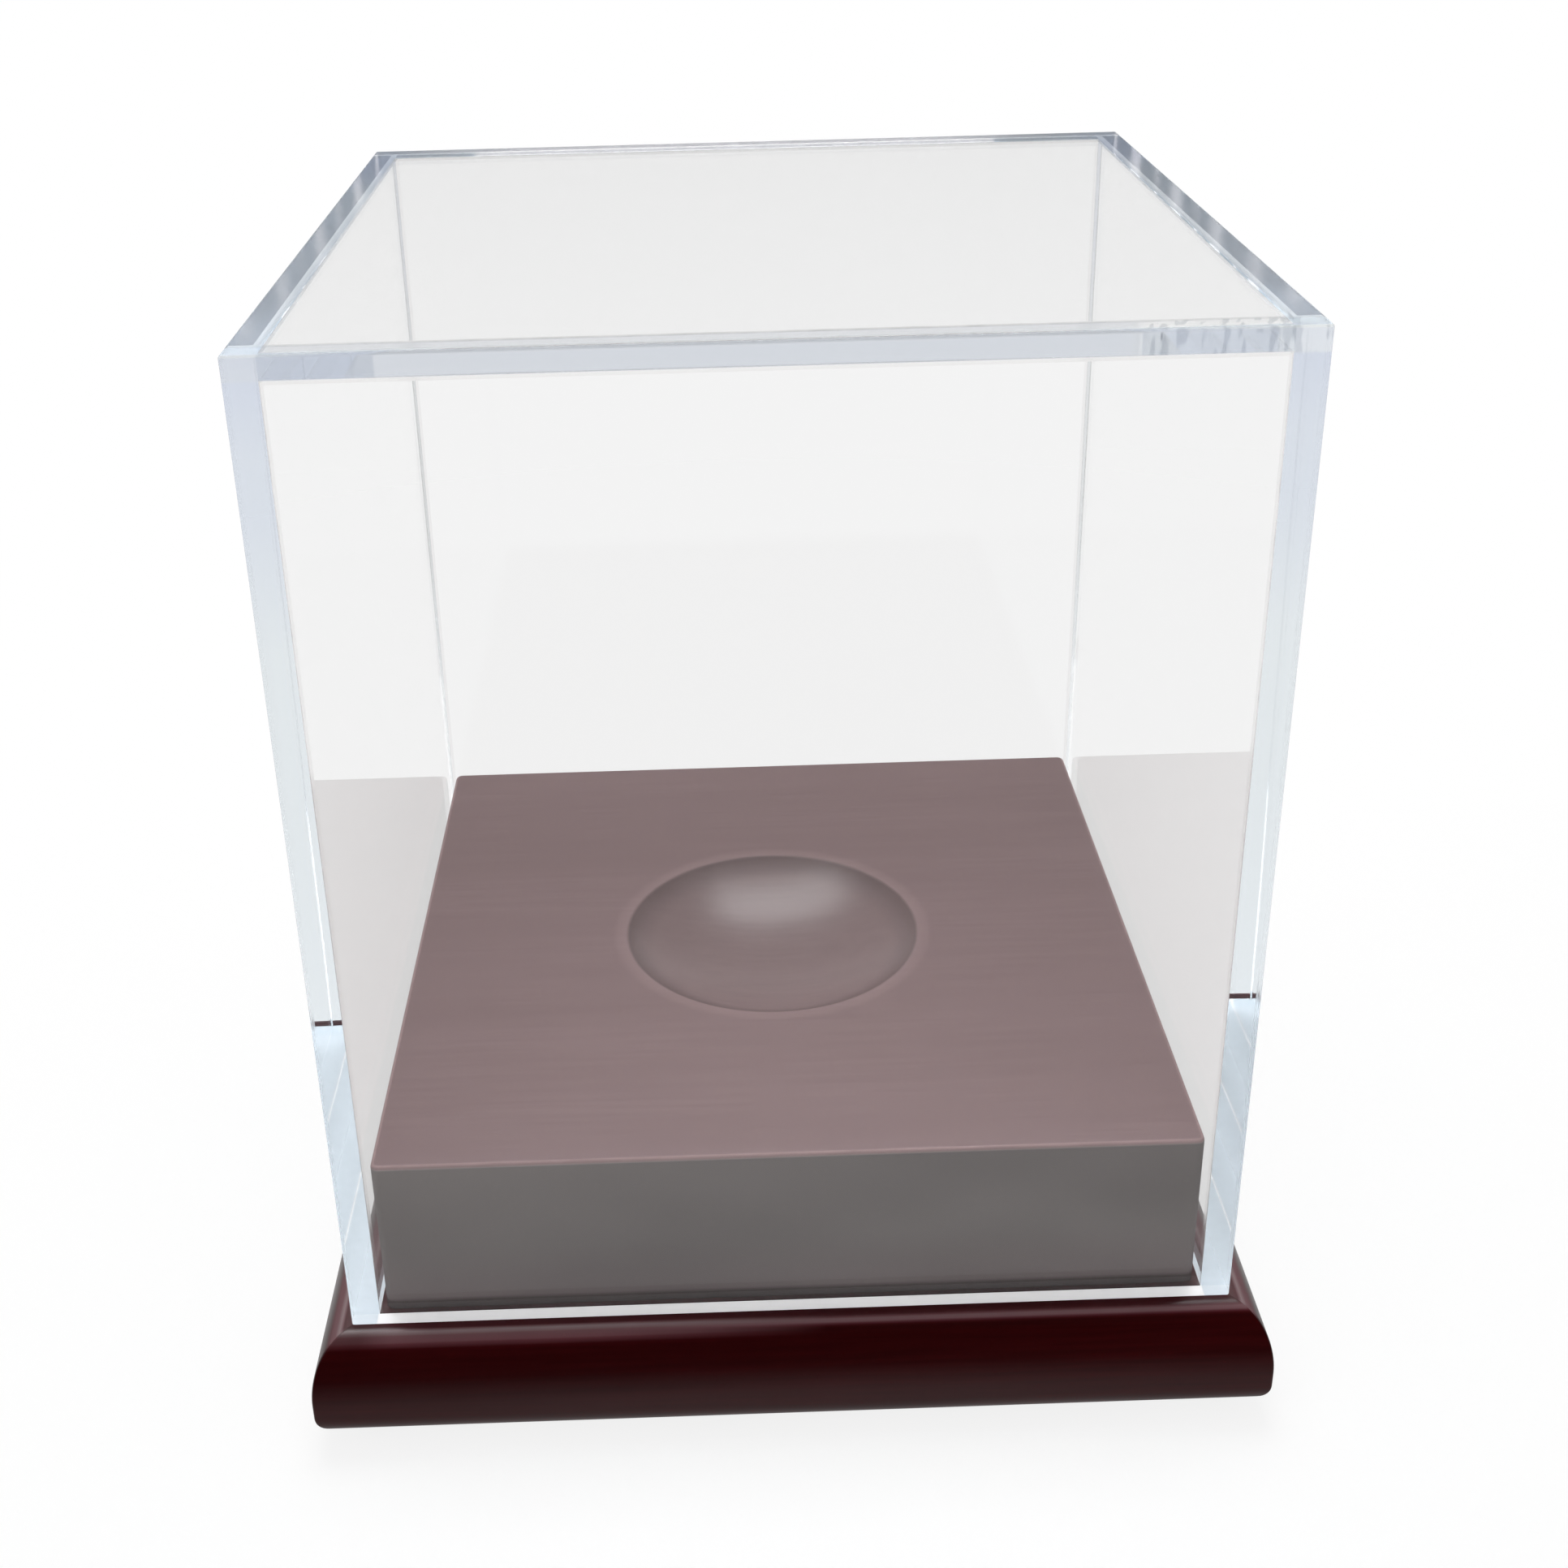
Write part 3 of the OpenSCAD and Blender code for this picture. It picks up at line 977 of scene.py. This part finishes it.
class DISPLAYCASE_OT_stage(bpy.types.Operator):
    """Sets up the pale floor, the soft lamps, the white surroundings and the camera"""

    bl_idname = "display_case.stage"
    bl_label = "Build Stage"

    def execute(self, context):
        settings = context.scene.display_stage
        self.floor()
        self.surroundings(context.scene, settings)
        power = settings.overhead_power
        self.lamp("overhead_softbox", (-0.03, 0.33, 0.88), (0, 0, 0.03), (0.62, 0.30), power)
        self.lamp("side_softbox", (-0.65, -0.45, 0.65), (0, 0, 0.05), (0.5, 0.5), 0.12 * power)
        self.camera(context.scene, settings)
        return {"FINISHED"}

    def floor(self):
        """A pale disc that keeps the case's shadow and turns to plain white further off."""
        across = np.linspace(0, 2 * math.pi, 64, endpoint=False)
        radii = np.array([0.02, 0.3, 1.0, 4.0])
        rings = np.stack([radii[:, None] * np.cos(across), radii[:, None] * np.sin(across),
                          np.zeros((len(radii), len(across)))], axis=-1)
        index = np.arange(rings[..., 0].size).reshape(rings.shape[:2])
        after = np.roll(index, -1, axis=1)
        quads = np.stack([index[:-1], index[1:], after[1:], after[:-1]], axis=-1).reshape(-1, 4)
        material, tree = new_material("pale_floor")
        place = object_place(tree)
        distance = node(tree, "ShaderNodeVectorMath", {0: place}, operation="LENGTH").outputs["Value"]
        far = ranged(tree, distance, 0.05, 0.30, 0.84, 1.0, interpolation_type="SMOOTHSTEP")
        behind = ranged(tree, axes_of(tree, place)["Y"], 0.05, 0.09, 0.0, 0.97)
        path = node(tree, "ShaderNodeLightPath").outputs
        seen = maths(tree, "MAXIMUM", path["Is Camera Ray"], path["Is Glossy Ray"])
        seen = maths(tree, "MAXIMUM", seen, path["Is Transmission Ray"])
        white = maths(tree, "MULTIPLY", seen, maths(tree, "MAXIMUM", far, behind))
        dim = maths(tree, "MULTIPLY", mirrored_ray(tree, path), ranged(tree, distance, 0.065, 0.12))
        matt = node(tree, "ShaderNodeBsdfDiffuse", {"Color": (0.92, 0.92, 0.92, 1)})
        glow = node(tree, "ShaderNodeEmission", {"Strength": maths(tree, "MULTIPLY_ADD", dim, -0.8, 1.0)})
        show(tree, mixed(tree, maths(tree, "MAXIMUM", white, dim), matt, glow))
        faces = quads.tolist() + [index[0].tolist()]
        floor = mesh_piece("floor", rings.reshape(-1, 3), faces, [material], smooth=False)

    def surroundings(self, scene, settings):
        """White for the camera, and a soft room for light and reflections.

        The room is bright at the level of the eye, and darker overhead and behind the camera.
        """
        world = bpy.data.worlds.new("studio")
        world.use_nodes = True
        scene.world = world
        tree = world.node_tree
        tree.nodes.clear()
        way = axes_of(tree, node(tree, "ShaderNodeTexCoord").outputs["Generated"])
        height = ranged(tree, way["Z"], 0.0, 0.7, 0.27, 0.9)
        front = ranged(tree, way["Y"], -0.4, 0.2, 0.06, 1.0, interpolation_type="SMOOTHSTEP")
        mirrored = maths(tree, "MULTIPLY", front, height)
        bright = settings.world_strength
        plain = ranged(tree, way["Z"], 0.15, 0.6, bright, bright * 0.4)
        path = node(tree, "ShaderNodeLightPath").outputs
        level = node(tree, "ShaderNodeMix", {0: mirrored_ray(tree, path), 2: plain, 3: mirrored}).outputs[0]
        room, white = [
            node(tree, "ShaderNodeBackground", {"Color": (1, 1, 1, 1), "Strength": strength})
            for strength in (level, 1.0)
        ]
        show(tree, mixed(tree, path["Is Camera Ray"], room, white), "ShaderNodeOutputWorld")
        world.cycles.sampling_method = "NONE"

    def lamp(self, name, place, aim, size, power):
        """A rectangular soft lamp that points from its place to its aim."""
        data = bpy.data.lights.new(name, "AREA")
        data.shape, data.energy = "RECTANGLE", power
        data.size, data.size_y = size
        lamp = bpy.data.objects.new(name, data)
        lamp.visible_transmission = False
        data.cycles.use_multiple_importance_sampling = False
        lamp.location = place
        lamp.rotation_euler = (Vector(aim) - Vector(place)).to_track_quat("-Z", "Y").to_euler()
        bpy.context.scene.collection.objects.link(lamp)

    def camera(self, scene, settings):
        """The photograph's camera, fitted to the corners of the cover."""
        data = bpy.data.cameras.new("camera")
        data.lens, data.sensor_width, data.sensor_fit = settings.lens, 36.0, "HORIZONTAL"
        data.shift_x, data.shift_y = settings.camera_shift
        data.clip_start, data.clip_end = 0.01, 20.0
        camera = bpy.data.objects.new("camera", data)
        camera.location = settings.camera_place
        camera.rotation_euler = settings.camera_turn
        scene.collection.objects.link(camera)
        scene.camera = camera
        scene.view_settings.view_transform = "Standard"
        scene.cycles.max_bounces = 48
        scene.cycles.glossy_bounces = 48
        scene.cycles.transmission_bounces = 48
        scene.cycles.transparent_max_bounces = 48


class DISPLAYCASE_PT_pieces(bpy.types.Panel):
    """Lists the case's pieces and their settings"""

    bl_label = "Display Case"
    bl_idname = "DISPLAYCASE_PT_pieces"
    bl_space_type = "VIEW_3D"
    bl_region_type = "UI"
    bl_category = "Display Case"

    def draw(self, context):
        layout = self.layout
        for name, group in SETTINGS.items():
            box = layout.box()
            box.label(text=group.__doc__)
            for value in group.__annotations__:
                box.prop(getattr(context.scene, name), value)
        for operator in OPERATORS:
            layout.operator(operator.bl_idname)


SETTINGS = {
    "display_cover": CoverSettings,
    "display_base": BaseSettings,
    "display_stage": StageSettings,
}
OPERATORS = (
    DISPLAYCASE_OT_stage,
    DISPLAYCASE_OT_plinth,
    DISPLAYCASE_OT_riser,
    DISPLAYCASE_OT_screws,
    DISPLAYCASE_OT_felt,
    DISPLAYCASE_OT_cover,
)


def register():
    """Registers the settings, the operators and the panel."""
    for name, group in SETTINGS.items():
        bpy.utils.register_class(group)
        setattr(bpy.types.Scene, name, bpy.props.PointerProperty(type=group))
    for operator in OPERATORS:
        bpy.utils.register_class(operator)
    bpy.utils.register_class(DISPLAYCASE_PT_pieces)


def unregister():
    """Takes away all that register added."""
    bpy.utils.unregister_class(DISPLAYCASE_PT_pieces)
    for operator in reversed(OPERATORS):
        bpy.utils.unregister_class(operator)
    for name, group in SETTINGS.items():
        delattr(bpy.types.Scene, name)
        bpy.utils.unregister_class(group)


def main():
    """Builds every piece in order."""
    register()
    bpy.ops.display_case.stage()
    bpy.ops.display_case.plinth()
    bpy.ops.display_case.riser()
    bpy.ops.display_case.screws()
    bpy.ops.display_case.felt()
    bpy.ops.display_case.cover()
    bpy.context.view_layer.update()


if __name__ == "__main__":
    main()
